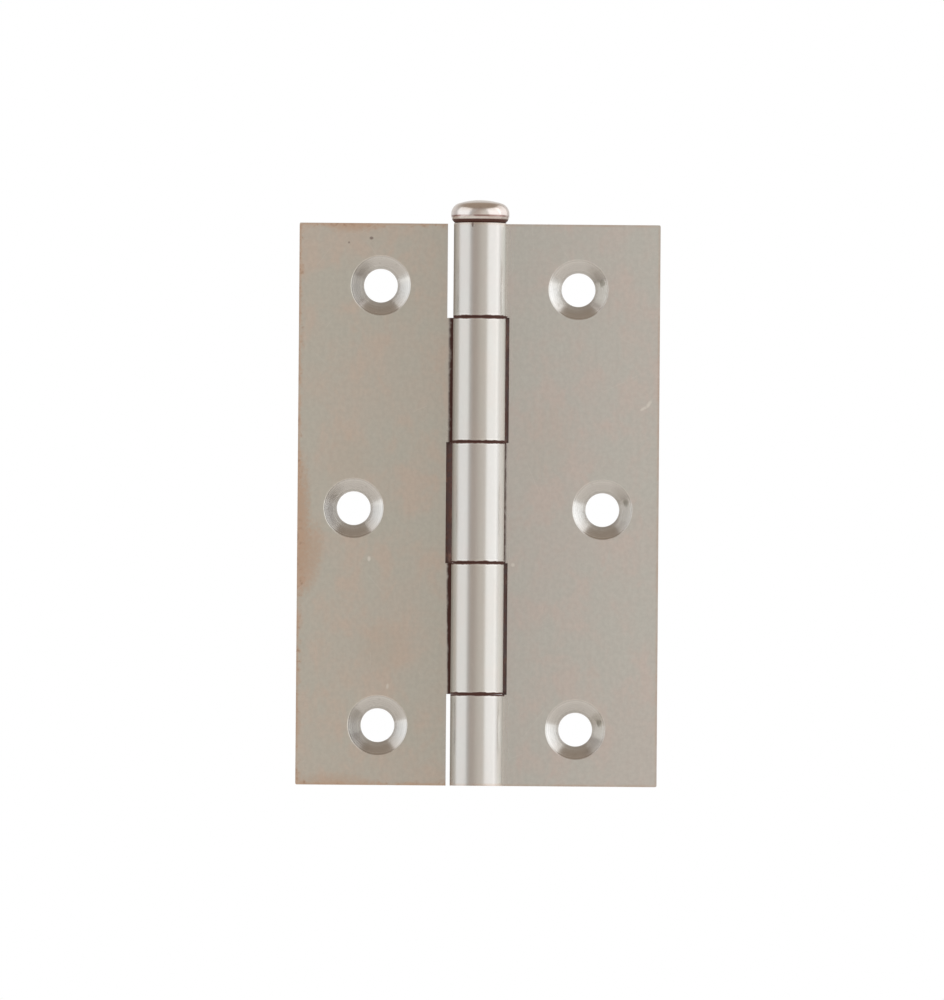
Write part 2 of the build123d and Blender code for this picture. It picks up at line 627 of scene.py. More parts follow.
def build_scratches():
    tree, given, result = start_group(
        "fine_scratches", {"Place": ("Vector", None), "Amount": ("Float", 0.5)}, ("Mask",)
    )
    x, _, z = node(tree, "SeparateXYZ", {0: given["Place"]}).outputs
    lines = []
    for shift, spacing, longest in ((0.0, 6.5, 2.2), (31.0, 4.0, 0.8), (57.0, 11.0, 3.6)):
        flat = node(tree, "CombineXYZ", {0: calc(tree, "ADD", x, shift), 1: z}).outputs[0]
        cell = node(tree, "TexVoronoi", {"Vector": flat, "Scale": 1 / spacing}, voronoi_dimensions="2D")
        offset = node(
            tree, "VectorMath", {0: flat, 1: cell.outputs["Position"]}, operation="SUBTRACT"
        )
        across, along, _ = node(tree, "SeparateXYZ", {0: offset.outputs[0]}).outputs
        chance, length, angle = node(tree, "SeparateColor", {0: cell.outputs["Color"]}).outputs
        turn = calc(tree, "MULTIPLY", calc(tree, "SUBTRACT", angle, 0.5), 2.4)
        sideways, forwards = turned(tree, across, along, turn)
        thin = ramp(tree, calc(tree, "ABSOLUTE", sideways), 0.05, 0.015)
        reach = calc(tree, "MULTIPLY", length, longest)
        left = calc(tree, "SUBTRACT", reach, calc(tree, "ABSOLUTE", forwards))
        tapered = ramp(tree, left, 0.0, 0.7)
        kept = ramp(tree, chance, 0.45, 0.9)
        lines.append(fold(tree, "MULTIPLY", [thin, tapered, kept]))
    total = fold(tree, "MAXIMUM", lines)
    give(tree, result, Mask=calc(tree, "MULTIPLY", total, given["Amount"], clamp=True))
    return tree


fine_scratches = build_scratches()
print("fine_scratches", len(fine_scratches.nodes), "nodes")

# %% [markdown]
# ### Polished edges, edge rust, joint grime and single marks
#
# Edge wear reads the attribute that the bevels wrote and lets a noise eat into it. Edge
# rust works out how far a point is from the leaf's outline and creeps inwards from there.
# Joint grime works the same way from the joints: old oil and dust fill the gap between
# two knuckles, and the turning of the hinge rubs a bright line beside it. A single mark is
# a soft ellipse at a chosen place, for a stain, a nick or a scuff.

# %% Polished edges
def build_worn_edge():
    tree, given, result = start_group(
        "worn_edge", {"Place": ("Vector", None), "Wear": ("Float", 0.0)}, ("Mask",)
    )
    eaten = noise(tree, given["Place"], 0.9, 4, 0.6)
    mask = calc(tree, "MULTIPLY", given["Wear"], ramp(tree, eaten, 0.3, 0.6, 0.35, 1.0), clamp=True)
    give(tree, result, Mask=mask)
    return tree


worn_edge = build_worn_edge()
print("worn_edge", len(worn_edge.nodes), "nodes")


# %% Rust that starts at the outline
def build_edge_rust():
    tree, given, result = start_group(
        "edge_rust",
        {
            "Place": ("Vector", None),
            "Width": ("Float", 24.0),
            "Height": ("Float", 75.0),
            "Reach": ("Float", 1.0),
        },
        ("Mask", "Line"),
    )
    x, _, z = node(tree, "SeparateXYZ", {0: given["Place"]}).outputs
    from_side = calc(tree, "SUBTRACT", given["Width"], calc(tree, "ABSOLUTE", x))
    from_top = calc(tree, "SUBTRACT", given["Height"], z)
    nearest = fold(tree, "MINIMUM", [from_side, from_top, z])
    creep = calc(tree, "MULTIPLY", noise(tree, given["Place"], 0.45, 5, 0.65), given["Reach"])
    close = ramp(tree, calc(tree, "SUBTRACT", nearest, calc(tree, "MULTIPLY", creep, 1.6)), 0.15, -0.5)
    broken = ramp(tree, noise(tree, given["Place"], 0.8, 4, 0.65), 0.38, 0.62)
    uneven = ramp(tree, noise(tree, given["Place"], 0.25, 3, 0.6), 0.35, 0.6, 0.3, 1.0)
    line = calc(tree, "MULTIPLY", ramp(tree, nearest, 0.42, 0.1), uneven)
    give(tree, result, Mask=calc(tree, "MULTIPLY", close, broken), Line=line)
    return tree


edge_rust = build_edge_rust()
print("edge_rust", len(edge_rust.nodes), "nodes")


# %% Grime packed into the joints between knuckles
def distance(tree, value, level):
    """How far a value is from a level, on either side."""
    return calc(tree, "ABSOLUTE", calc(tree, "SUBTRACT", value, level))


def build_joint_grime():
    rubbed_line = 0.36  # from the joint to the middle of the bright line beside it
    tree, given, result = start_group("joint_grime", {"Place": ("Vector", None)}, ("Mask", "Rim"))
    x, _, z = node(tree, "SeparateXYZ", {0: given["Place"]}).outputs
    away = [distance(tree, z, height) for height in joint_heights]
    nearest = fold(tree, "MINIMUM", away)
    ragged = calc(tree, "MULTIPLY", noise(tree, given["Place"], 1.1, 3, 0.6), 0.34)
    close = ramp(tree, calc(tree, "SUBTRACT", nearest, ragged), 0.13, 0.0)
    on_barrel = ramp(tree, calc(tree, "ABSOLUTE", x), knuckle_r + 0.3, knuckle_r + 0.1)
    beside = distance(tree, nearest, rubbed_line)
    rim = calc(tree, "MULTIPLY", ramp(tree, beside, 0.12, 0.02), on_barrel)
    give(tree, result, Mask=calc(tree, "MULTIPLY", close, on_barrel), Rim=rim)
    return tree


joint_grime = build_joint_grime()
print("joint_grime", len(joint_grime.nodes), "nodes")


# %% A single mark
def build_mark():
    tree, given, result = start_group(
        "single_mark",
        {
            "Place": ("Vector", None),
            "Centre X": ("Float", 0.0),
            "Centre Z": ("Float", 0.0),
            "Half Width": ("Float", 1.0),
            "Half Length": ("Float", 1.0),
            "Turn": ("Float", 0.0),
            "Strength": ("Float", 1.0),
        },
        ("Mask",),
    )
    x, y, z = node(tree, "SeparateXYZ", {0: given["Place"]}).outputs
    dx = calc(tree, "SUBTRACT", x, given["Centre X"])
    dz = calc(tree, "SUBTRACT", z, given["Centre Z"])
    across, along = turned(tree, dx, dz, given["Turn"])
    across = calc(tree, "DIVIDE", across, given["Half Width"])
    along = calc(tree, "DIVIDE", along, given["Half Length"])
    squared = mix(tree, across, across, along, along)
    ragged = calc(tree, "MULTIPLY", noise(tree, given["Place"], 2.2, 4, 0.65), 1.1)
    soft = ramp(tree, calc(tree, "ADD", squared, ragged), 1.45, 0.45)
    in_front = calc(tree, "LESS_THAN", y, (front_y + knuckle_r) / 2)
    give(tree, result, Mask=fold(tree, "MULTIPLY", [soft, given["Strength"], in_front]))
    return tree


single_mark = build_mark()
print("groups", sorted(g.name for g in bpy.data.node_groups))

# %% [markdown]
# ## The steel of a leaf
#
# The finish starts as plain bright metal and is then dirtied in the order that life does
# it: satin and tarnish first, then warm stains and rust from the edges, then the rubbing
# that polishes edges and scratches, and last the crease grime, which nothing rubs away,
# together with painted shade beside the knuckles. Rust and grime aren't metal, so they
# pull Metallic down as well as changing the colour; the painted shade does the same.

# %% Colours, as linear values
# This dark colour serves real grime in the joints and also painted shade in the creases and under the
# pin's head.
GRIME = (0.085, 0.030, 0.021, 1)
RUST = (0.22, 0.085, 0.035, 1)
LIGHT_RUST = (0.59, 0.43, 0.325, 1)
POLISHED = (0.80, 0.78, 0.74, 1)
BARE = (0.72, 0.71, 0.69, 1)
RUBBED = (0.640, 0.622, 0.597, 1)  # the barrel, which hands keep clean
RING = (0.30, 0.19, 0.17, 1)  # old oil round the pin's head


def start_material(name):
    """A material with its Principled shader, output and millimetre coordinates."""
    material = bpy.data.materials.new(name)
    material.use_nodes = True
    tree = material.node_tree
    tree.nodes.clear()
    shader = tree.nodes.new("ShaderNodeBsdfPrincipled")
    output = tree.nodes.new("ShaderNodeOutputMaterial")
    tree.links.new(shader.outputs[0], output.inputs[0])
    object_place = tree.nodes.new("ShaderNodeTexCoord").outputs["Object"]
    place = node(tree, "VectorMath", {0: object_place, 1: (1 / MM,) * 3}, operation="MULTIPLY")
    return material, tree, shader, place.outputs[0]


def attribute(tree, name):
    """A value that the mesh wrote at its vertices."""
    return node(tree, "Attribute", attribute_name=name).outputs["Fac"]


def finish(tree, shader, colour, metallic, roughness, height, microns):
    """Links the finished values into the shader, with the depth of the relief in microns."""
    bump = node(tree, "Bump", {"Height": height, "Distance": microns * MICRON, "Strength": 1.0})
    for key, value in (("Base Color", colour), ("Metallic", metallic), ("Roughness", roughness)):
        tree.links.new(value, shader.inputs[key])
    tree.links.new(bump.outputs[0], shader.inputs["Normal"])


# %% Marks with a kind, and the masks of one kind
def mark(kind, x, z, half_width, half_length, strength, turn=0):
    """A mark's kind and its values for the single_mark group; the turn is in degrees."""
    values = {
        "Centre_X": x,
        "Centre_Z": z,
        "Half_Width": half_width,
        "Half_Length": half_length,
        "Turn": math.radians(turn),
        "Strength": strength,
    }
    return kind, values


def masks_of(tree, place, marks, kind):
    """The masks of all the marks of one kind."""
    wanted = [values for its_kind, values in marks if its_kind == kind]
    return [place_group(tree, single_mark, Place=place, **values)["Mask"] for values in wanted]


# %% Colour of the sheet before stains and dirt
past_barrel = knuckle_r + 1.2  # out here the sheet is flat and no longer rubbed


def from_pin(tree, place):
    """How far sideways a point is from the pin."""
    return calc(tree, "ABSOLUTE", node(tree, "SeparateXYZ", {0: place}).outputs[0])


def rubbed_flank(tree, place):
    """A mask of the strip along the barrel's right side, at the front, where a highlight is painted in the
    polished colour.
    """
    across, depth, _ = node(tree, "SeparateXYZ", {0: place}).outputs
    strip = calc(tree, "MULTIPLY", ramp(tree, across, 2.6, 3.0), ramp(tree, across, 3.9, 3.5))
    return calc(tree, "MULTIPLY", strip, ramp(tree, depth, front_y + 0.1, front_y - 0.2))


def clean_sheet(tree, place, streak, tarnish, flat, pink, green):
    """Tarnish on the flat, a rubbed barrel with a painted highlight down its right flank, and the light
    and dark of the rolling streaks.
    """
    aside = from_pin(tree, place)
    on_flat = ramp(tree, aside, knuckle_r, past_barrel, 0.25, 1.0)
    colour = tint(tree, tarnish["Pink"], flat, pink)
    colour = tint(tree, tarnish["Green"], colour, green)
    colour = tint(tree, on_flat, RUBBED, colour)
    # Painted highlight: the front of the barrel's right flank is tinted towards the polished colour.
    colour = tint(tree, rubbed_flank(tree, place), colour, POLISHED)
    value = ramp(tree, streak, 0.2, 0.8, 0.985, 1.015)
    fine_cloud = ramp(tree, noise(tree, place, 1.7, 3, 0.6), 0.3, 0.7, -0.034, 0.034)
    value = calc(tree, "ADD", value, calc(tree, "MULTIPLY", fine_cloud, on_flat))
    # The sheet is made a little darker towards the pin and a little lighter towards its outer edge.
    value = calc(tree, "MULTIPLY", value, ramp(tree, aside, knuckle_r, leaf_reach, 0.955, 1.02))
    return node(tree, "HueSaturation", {"Color": colour, "Value": value}).outputs[0]


# %% Skin of a leaf
def leaf_skin(name, flat, pink, green, rust_reach, rust_strength, marks):
    """The sheet's finish, from its plain colour and its pinker and greener tarnish."""
    material, tree, shader, place = start_material(name)
    satin = place_group(tree, rolled_satin, Place=place)
    tarnish = place_group(tree, cloudy_tarnish, Place=place)
    scratch = place_group(tree, fine_scratches, Place=place, Amount=0.5)["Mask"]
    polished = place_group(tree, worn_edge, Place=place, Wear=attribute(tree, "edge_wear"))["Mask"]
    from_edge = place_group(
        tree, edge_rust, Place=place, Width=leaf_reach, Height=leaf_height, Reach=rust_reach
    )
    joints = place_group(tree, joint_grime, Place=place)

    colour = clean_sheet(tree, place, satin["Streak"], tarnish, flat, pink, green)
    for warm in masks_of(tree, place, marks, "warm"):
        colour = tint(tree, warm, colour, LIGHT_RUST)
    rust = calc(tree, "MULTIPLY", from_edge["Mask"], rust_strength)
    rust = fold(tree, "MAXIMUM", [rust, *masks_of(tree, place, marks, "rust")])
    nick = fold(tree, "MAXIMUM", masks_of(tree, place, marks, "nick"))
    stains = masks_of(tree, place, marks, "dark")
    # The dark crease beside each knuckle is dirt with painted shade.
    ragged = ramp(tree, noise(tree, place, 1.2, 3), 0.25, 0.6, 0.65, 1.0)
    crease = ramp(tree, calc(tree, "MULTIPLY", attribute(tree, "crease_dirt"), ragged), 0.1, 0.5)
    dirt = fold(tree, "MAXIMUM", [crease, joints["Mask"], *stains])
    polished = calc(tree, "MAXIMUM", polished, calc(tree, "MULTIPLY", joints["Rim"], 0.6))

    colour = tint(tree, calc(tree, "MULTIPLY", from_edge["Line"], rust_strength), colour, LIGHT_RUST)
    colour = tint(tree, rust, colour, LIGHT_RUST)
    spots = ramp(tree, noise(tree, place, 1.6, 3), 0.5, 0.8, 0.0, 0.6)
    colour = tint(tree, calc(tree, "MULTIPLY", rust, spots), colour, RUST)
    colour = tint(tree, calc(tree, "MULTIPLY", polished, 0.55), colour, POLISHED)
    colour = tint(tree, calc(tree, "MULTIPLY", scratch, 0.5), colour, POLISHED)
    colour = tint(tree, nick, colour, POLISHED)
    colour = tint(tree, dirt, colour, GRIME)

    metallic = calc(tree, "SUBTRACT", 1.0, calc(tree, "MULTIPLY", rust, 0.3))
    metallic = calc(tree, "SUBTRACT", metallic, dirt, clamp=True)
    cloud = ramp(tree, tarnish["Cloud"], 0.35, 0.65, 0.28, 0.31)
    smoother_barrel = ramp(tree, from_pin(tree, place), knuckle_r, past_barrel, 0.88, 1.0)
    cloud = calc(tree, "MULTIPLY", cloud, smoother_barrel)
    rough = calc(tree, "ADD", cloud, calc(tree, "MULTIPLY", rust, 0.15))
    rough = calc(tree, "ADD", rough, calc(tree, "MULTIPLY", dirt, 0.5))
    rough = calc(tree, "SUBTRACT", rough, calc(tree, "MULTIPLY", polished, 0.06))
    height = calc(tree, "ADD", satin["Height"], calc(tree, "MULTIPLY", rust, 0.8))
    height = calc(tree, "SUBTRACT", height, calc(tree, "MULTIPLY", scratch, 1.2))
    finish(tree, shader, colour, metallic, rough, height, microns=2.5)
    return material


# %% [markdown]
# ## Sheared edges and turned countersinks
#
# A sheared edge is torn metal: dark, rough and the first place to rust. A countersink is
# cut by a turning tool, so it is the brightest metal on the leaf and carries fine rings.
# The rings follow the radius that the mesh wrote into an attribute, so they are true
# circles in every hole.

# %% Sheared edge
def sheared_edge(name, rust_amount):
    torn_dark = (0.30, 0.265, 0.23, 1)
    torn_light = (0.48, 0.44, 0.40, 1)
    material, tree, shader, place = start_material(name)
    torn = noise(tree, stretch(tree, place, (1, 0.35, 1)), 3.0, 4, 0.65)
    blotch = noise(tree, place, 0.5, 4, 0.6)
    rust = ramp(tree, blotch, 0.62 - rust_amount, 0.72 - rust_amount * 0.5, 0.0, 0.6)
    colour = tint(tree, ramp(tree, torn, 0.35, 0.7), torn_dark, torn_light)
    colour = tint(tree, rust, colour, RUST)
    metallic = calc(tree, "SUBTRACT", 0.85, calc(tree, "MULTIPLY", rust, 0.6))
    rough = calc(tree, "ADD", ramp(tree, torn, 0.3, 0.7, 0.42, 0.58), calc(tree, "MULTIPLY", rust, 0.2))
    finish(tree, shader, colour, metallic, rough, torn, microns=20)
    return material


# %% Slot walls, knuckle ends and bores: oil that nothing ever cleans, painted darker as shade for these hollows
def hidden_metal(name):
    oil_dark = (0.075, 0.024, 0.018, 1)
    oil_brown = (0.190, 0.078, 0.052, 1)
    dry_rust = (0.28, 0.14, 0.09, 1)
    material, tree, shader, place = start_material(name)
    torn = noise(tree, stretch(tree, place, (1, 0.35, 1)), 1.4, 4, 0.65)
    blotch = noise(tree, stretch(tree, place, (1, 1, 0.5)), 0.9, 4, 0.65)
    colour = tint(tree, ramp(tree, torn, 0.35, 0.7), oil_dark, oil_brown)
    colour = tint(tree, ramp(tree, blotch, 0.5, 0.68), colour, dry_rust)
    metallic = ramp(tree, torn, 0.3, 0.7, 0.55, 0.75)
    rough = ramp(tree, torn, 0.3, 0.7, 0.5, 0.65)
    finish(tree, shader, colour, metallic, rough, torn, microns=20)
    return material


# %% Turned countersink
def turned_countersink(name, burred_holes=()):
    """The cone's finish; burred holes have a dull patch where the tool left the metal."""
    ring_pitch = 0.16
    between_rings = (0.60, 0.59, 0.57, 1)
    chatter_grey = (0.34, 0.31, 0.27, 1)
    burr_grey = (0.30, 0.29, 0.25, 1)
    material, tree, shader, place = start_material(name)
    radius = attribute(tree, "ring_radius")
    wave = calc(tree, "SINE", calc(tree, "MULTIPLY", radius, 2 * math.pi / ring_pitch))
    uneven = noise(tree, node(tree, "CombineXYZ", {0: radius}).outputs[0], 5.0, 3)
    chatter = noise(tree, place, 2.4, 3)
    rings = mix(tree, wave, 0.25, uneven, 0.9)
    colour = tint(tree, ramp(tree, uneven, 0.35, 0.65), between_rings, BARE)
    colour = tint(tree, ramp(tree, chatter, 0.6, 0.75, 0.0, 0.3), colour, chatter_grey)
    burrs = [
        mark("burr", x + 3.1, z + 0.9, half_width=0.6, half_length=0.7, strength=0.75)
        for x, z in burred_holes
    ]
    for burr in masks_of(tree, place, burrs, "burr"):
        colour = tint(tree, burr, colour, burr_grey)
    worn = place_group(tree, worn_edge, Place=place, Wear=attribute(tree, "edge_wear"))["Mask"]
    colour = tint(tree, calc(tree, "MULTIPLY", worn, 0.4), colour, POLISHED)
    metallic = calc(tree, "SUBTRACT", 1.0, calc(tree, "MULTIPLY", chatter, 0.05))
    rough = ramp(tree, uneven, 0.3, 0.7, 0.17, 0.25)
    finish(tree, shader, colour, metallic, rough, rings, microns=3)
    return material


# %% A leaf from its sizes and finishes
def build_leaf(leaf, own_knuckles, notch_gap, foot_gap, roll_end, crease_dirt, finishes, mirror):
    """Makes one leaf; the gaps are between the barrel's side and the notches' walls."""
    holes = screw_holes(leaf)
    bands = own_bands(own_knuckles)
    bm = press_leaf(holes, bands, notch_gap, foot_gap, roll_end)
    print(leaf, "pressed,", len(bm.faces), "faces")
    soften_leaf(bm, holes)
    print(leaf, "with its edges rounded,", len(bm.faces), "faces")
    label_leaf(bm, holes, bands, notch_gap, crease_dirt)
    if mirror:
        bmesh.ops.scale(bm, verts=bm.verts, vec=(-1, 1, 1))
        bmesh.ops.reverse_faces(bm, faces=bm.faces)
    hand_over(bm, leaf + "_pressing", leaf, finishes)


# %% Marks that each leaf has picked up, at x and z in millimetres
frame_marks = (
    mark("nick", 22.7, 51.1, half_width=0.34, half_length=0.9, strength=1.0, turn=35),
    mark("nick", 22.0, 50.5, half_width=0.28, half_length=0.7, strength=1.0, turn=60),
    mark("nick", 4.7, 29.5, half_width=0.35, half_length=0.35, strength=0.8),
    mark("dark", -1.0, 74.7, half_width=0.22, half_length=0.5, strength=0.8),
    mark("warm", 9.0, 46.0, half_width=5.0, half_length=8.0, strength=0.07, turn=10),
)
door_marks = (
    mark("warm", -24.0, 35.0, half_width=2.2, half_length=12.0, strength=0.85),
    mark("warm", -22.6, 30.0, half_width=2.4, half_length=6.5, strength=0.6, turn=12),
    mark("rust", -24.3, 42.0, half_width=1.0, half_length=4.0, strength=1.0),
    mark("rust", -24.2, 32.5, half_width=1.3, half_length=3.5, strength=1.0, turn=8),
    mark("rust", -23.6, 27.0, half_width=0.8, half_length=1.6, strength=0.7, turn=20),
    mark("warm", -17.0, 75.0, half_width=5.0, half_length=1.6, strength=0.7),
    mark("warm", -19.0, 0.0, half_width=7.0, half_length=2.2, strength=0.45),
    mark("warm", -12.5, 18.5, half_width=4.5, half_length=4.5, strength=0.16),
    mark("warm", -17.5, 43.0, half_width=4.0, half_length=6.0, strength=0.10),
    mark("dark", -14.5, 73.0, half_width=0.35, half_length=0.3, strength=0.7),
    mark("dark", -17.5, 72.4, half_width=0.2, half_length=0.2, strength=0.6),
    mark("nick", -14.5, 30.2, half_width=0.3, half_length=0.5, strength=0.9),
    mark("nick", -11.9, 13.2, half_width=0.25, half_length=0.5, strength=0.6, turn=10),
)
print(len(frame_marks), "marks on the frame leaf and", len(door_marks), "on the door leaf")

# %% Finishes of both leaves
frame_skin = leaf_skin(
    "frame_leaf_skin",
    flat=(0.635, 0.615, 0.588, 1),
    pink=(0.668, 0.612, 0.580, 1),
    green=(0.622, 0.628, 0.600, 1),
    rust_reach=0.35,
    rust_strength=0.35,
    marks=frame_marks,
)
door_skin = leaf_skin(
    "door_leaf_skin",
    flat=(0.600, 0.566, 0.512, 1),
    pink=(0.632, 0.560, 0.496, 1),
    green=(0.580, 0.576, 0.526, 1),
    rust_reach=0.9,
    rust_strength=0.7,
    marks=door_marks,
)
edge_metal = sheared_edge("sheared_edge", 0.12)
frame_countersinks = turned_countersink("frame_leaf_countersinks", screw_holes("frame_leaf"))
door_countersinks = turned_countersink("door_leaf_countersinks")
slot_metal = hidden_metal("hidden_metal")
print("finishes", [material.name for material in bpy.data.materials])

# %% Build both leaves
build_leaf(
    "frame_leaf",
    (0, 2, 4),
    notch_gap=0.5,
    foot_gap=0.5,
    roll_end=29,
    crease_dirt=(0.1, 0.55, 0.16),
    finishes=(frame_skin, edge_metal, frame_countersinks, slot_metal),
    mirror=False,
)
build_leaf(
    "door_leaf",
    (1, 3),
    notch_gap=0.8,
    foot_gap=0.55,
    roll_end=18,
    crease_dirt=(1.0, 0.85),
    finishes=(door_skin, edge_metal, door_countersinks, slot_metal),
    mirror=True,
)

# %% [markdown]
# ## The loose pin
#
# The pin is headed from one piece of wire: a low button with a soft rim, a shank that
# fits the knuckles, and a chamfered tip that finds its way in. It is turned here as a
# lathe would: half of its outline, then one full spin. The button's arcs are themselves
# spins of a single point round the centre of the circle through three known points.

# %% Half outline of the pin
pin_play = 0.05
pin_r = knuckle_r - sheet - pin_play
tip_chamfer = 0.5
seat_r = 3.3
widest_z = leaf_height + 1.25
under_bulge = (3.74, leaf_height + 0.5)  # a point on the arc under the rim
upper_bulge = (3.68, leaf_height + 2.0)  # a point on the arc above the rim
shoulder_r = 3.05
shoulder_z = head_top - 0.5
ARC_STEPS = 7
TURN_STEPS = 96
print("pin", round(2 * pin_r, 2), "thick, with a head", round(2 * head_r, 2), "wide")


def circle_centre(a, b, c):
    """Centre of the circle through three (radius, height) points."""
    ax, az = a
    bx, bz = b
    cx, cz = c
    aa = ax**2 + az**2
    bb = bx**2 + bz**2
    cc = cx**2 + cz**2
    divisor = 2 * (ax * (bz - cz) + bx * (cz - az) + cx * (az - bz))
    x = aa * (bz - cz) + bb * (cz - az) + cc * (az - bz)
    z = aa * (cx - bx) + bb * (ax - cx) + cc * (bx - ax)
    return x / divisor, z / divisor


def line_to(bm, vert, point):
    """Pulls an edge from a vertex to a (radius, height) point."""
    pulled = bmesh.ops.extrude_vert_indiv(bm, verts=[vert])["verts"][0]
    pulled.co = (point[0], 0, point[1])
    return pulled


def arc_to(bm, vert, centre, end):
    """Spins a vertex about a centre until it reaches the end point."""
    start_angle = math.atan2(vert.co.z - centre[1], vert.co.x - centre[0])
    end_angle = math.atan2(end[1] - centre[1], end[0] - centre[0])
    spun = bmesh.ops.spin(
        bm,
        geom=[vert],
        cent=(centre[0], 0, centre[1]),
        axis=(0, -1, 0),
        angle=end_angle - start_angle,
        steps=ARC_STEPS,
        use_duplicate=False,
    )
    return next(g for g in spun["geom_last"] if isinstance(g, bmesh.types.BMVert))


# %% Spin the outline into a pin
HEAD, SHANK = 0, 1
seat_round = 0.08
PIN_CREASED = math.radians(35)


def build_pin(finishes):
    """Draws half of the pin's outline from its tip up, then turns it once round."""
    bm = bmesh.new()
    bm.verts.layers.float.new("edge_wear")
    foot = bmesh.ops.create_vert(bm, co=(0, 0, pin_tip))["vert"][0]
    v = line_to(bm, foot, (pin_r - tip_chamfer, pin_tip))
    v = line_to(bm, v, (pin_r, pin_tip + tip_chamfer))
    v = line_to(bm, v, (pin_r, leaf_height))
    v = line_to(bm, v, (seat_r, leaf_height))
    rim = (head_r, widest_z)
    shoulder = (shoulder_r, shoulder_z)
    v = arc_to(bm, v, circle_centre((seat_r, leaf_height), under_bulge, rim), rim)
    v = arc_to(bm, v, circle_centre(rim, upper_bulge, shoulder), shoulder)
    drop = head_top - shoulder_z
    crown_r = (shoulder_r**2 + drop**2) / (2 * drop)
    arc_to(bm, v, (0, head_top - crown_r), (0, head_top))
    bmesh.ops.spin(
        bm,
        geom=bm.verts[:] + bm.edges[:],
        cent=(0, 0, 0),
        axis=(0, 0, 1),
        angle=math.radians(360),
        steps=TURN_STEPS,
        use_merge=True,
        use_duplicate=False,
    )
    bmesh.ops.remove_doubles(bm, verts=bm.verts, dist=MERGE)
    bmesh.ops.recalc_face_normals(bm, faces=bm.faces)
    seat = [
        e
        for e in sharp_outer_edges(bm)
        if all(abs(v.co.z - leaf_height) < NEAR for v in e.verts)
        and all(math.hypot(v.co.x, v.co.y) > seat_r - 0.01 for v in e.verts)
    ]
    round_over(bm, seat, seat_round, 2)
    for f in bm.faces:
        middle = f.calc_center_median()
        f.smooth = True
        f.material_index = HEAD if middle.z > leaf_height + 0.02 else SHANK
    for e in bm.edges:
        if len(e.link_faces) == 2 and e.calc_face_angle() > PIN_CREASED:
            e.smooth = False
    hand_over(bm, "loose_pin_turned", "loose_pin", finishes)


# %% [markdown]
# ## Finish of the pin
#
# The button is handled most, so it is smooth and bright, and its crown is painted lighter
# and warmer as a painted reflection. Old oil leaves a thin brown ring under the rim, and a
# painted shadow in the grime colour darkens the underside below it. The shank lives inside
# the knuckles in old oil: dark, with a brown ring at each joint, where air reaches it.

# %% Head
def pin_head(name):
    head_plain = (0.78, 0.75, 0.725, 1)
    head_pink = (0.70, 0.62, 0.59, 1)
    crown_warm = (0.84, 0.79, 0.75, 1)
    ring_z = leaf_height + 0.93
    grime_top = leaf_height + 0.58
    grime_full = leaf_height + 0.46
    material, tree, shader, place = start_material(name)
    _, _, z = node(tree, "SeparateXYZ", {0: place}).outputs
    tarnish = place_group(tree, cloudy_tarnish, Place=place)
    scratch = place_group(tree, fine_scratches, Place=place, Amount=0.6)["Mask"]
    # Painted reflection: the crown is tinted lighter and warmer.
    crown = ramp(tree, z, widest_z - 0.2, shoulder_z + 0.1)
    warm = calc(tree, "MULTIPLY", crown, ramp(tree, noise(tree, place, 0.9, 4, 0.6), 0.3, 0.6, 0.4, 1.0))
    colour = tint(tree, tarnish["Pink"], head_plain, head_pink)
    colour = tint(tree, warm, colour, crown_warm)
    colour = tint(tree, scratch, colour, POLISHED)
    ring = ramp(tree, distance(tree, z, ring_z), 0.2, 0.05)
    uneven = ramp(tree, noise(tree, place, 0.7, 3), 0.35, 0.6, 0.45, 0.95)
    colour = tint(tree, calc(tree, "MULTIPLY", ring, uneven), colour, RING)
    # Painted shadow: below the rim the head is darkened to the grime colour.
    under = ramp(tree, z, grime_top, grime_full)
    colour = tint(tree, under, colour, GRIME)
    metallic = calc(tree, "SUBTRACT", 1.0, calc(tree, "MULTIPLY", under, 0.8))
    rough = ramp(tree, tarnish["Cloud"], 0.35, 0.65, 0.17, 0.23)
    rough = calc(tree, "ADD", rough, calc(tree, "MULTIPLY", under, 0.4))
    grain = noise(tree, place, 4.0, 3)
    finish(tree, shader, colour, metallic, rough, grain, microns=4)
    return material


# %% Shank
def pin_shank(name):
    shank_dark = (0.16, 0.13, 0.11, 1)
    shank_light = (0.30, 0.27, 0.24, 1)
    material, tree, shader, place = start_material(name)
    _, _, z = node(tree, "SeparateXYZ", {0: place}).outputs
    draw_lines = noise(tree, stretch(tree, place, (1, 1, 0.05)), 4.0, 3)
    blotch = noise(tree, place, 0.7, 4, 0.6)
    colour = tint(tree, ramp(tree, blotch, 0.35, 0.65), shank_dark, shank_light)
    rings = [ramp(tree, distance(tree, z, height), 0.9, 0.25) for height in joint_heights]
    ring = fold(tree, "MAXIMUM", rings)
    colour = tint(tree, ring, colour, GRIME)
    metallic = calc(tree, "SUBTRACT", 0.95, calc(tree, "MULTIPLY", ring, 0.7))
    rough = calc(tree, "ADD", ramp(tree, blotch, 0.3, 0.7, 0.28, 0.42), calc(tree, "MULTIPLY", ring, 0.25))
    finish(tree, shader, colour, metallic, rough, draw_lines, microns=10)
    return material


build_pin((pin_head("pin_head_steel"), pin_shank("oiled_shank_steel")))

# %% [markdown]
# ## Floor, light and camera
#
# Polished metal shows its surroundings more than itself, so the light is laid out as a
# product table: a tall soft panel on each side, which gives the round barrel its two
# bright bands, and a calm grey room with a warmer card in front, which the flat leaves
# reflect evenly.

# %% Floor
floor_half = 0.25
floor_z = -0.045  # well below the hinge, clear of everything that moves


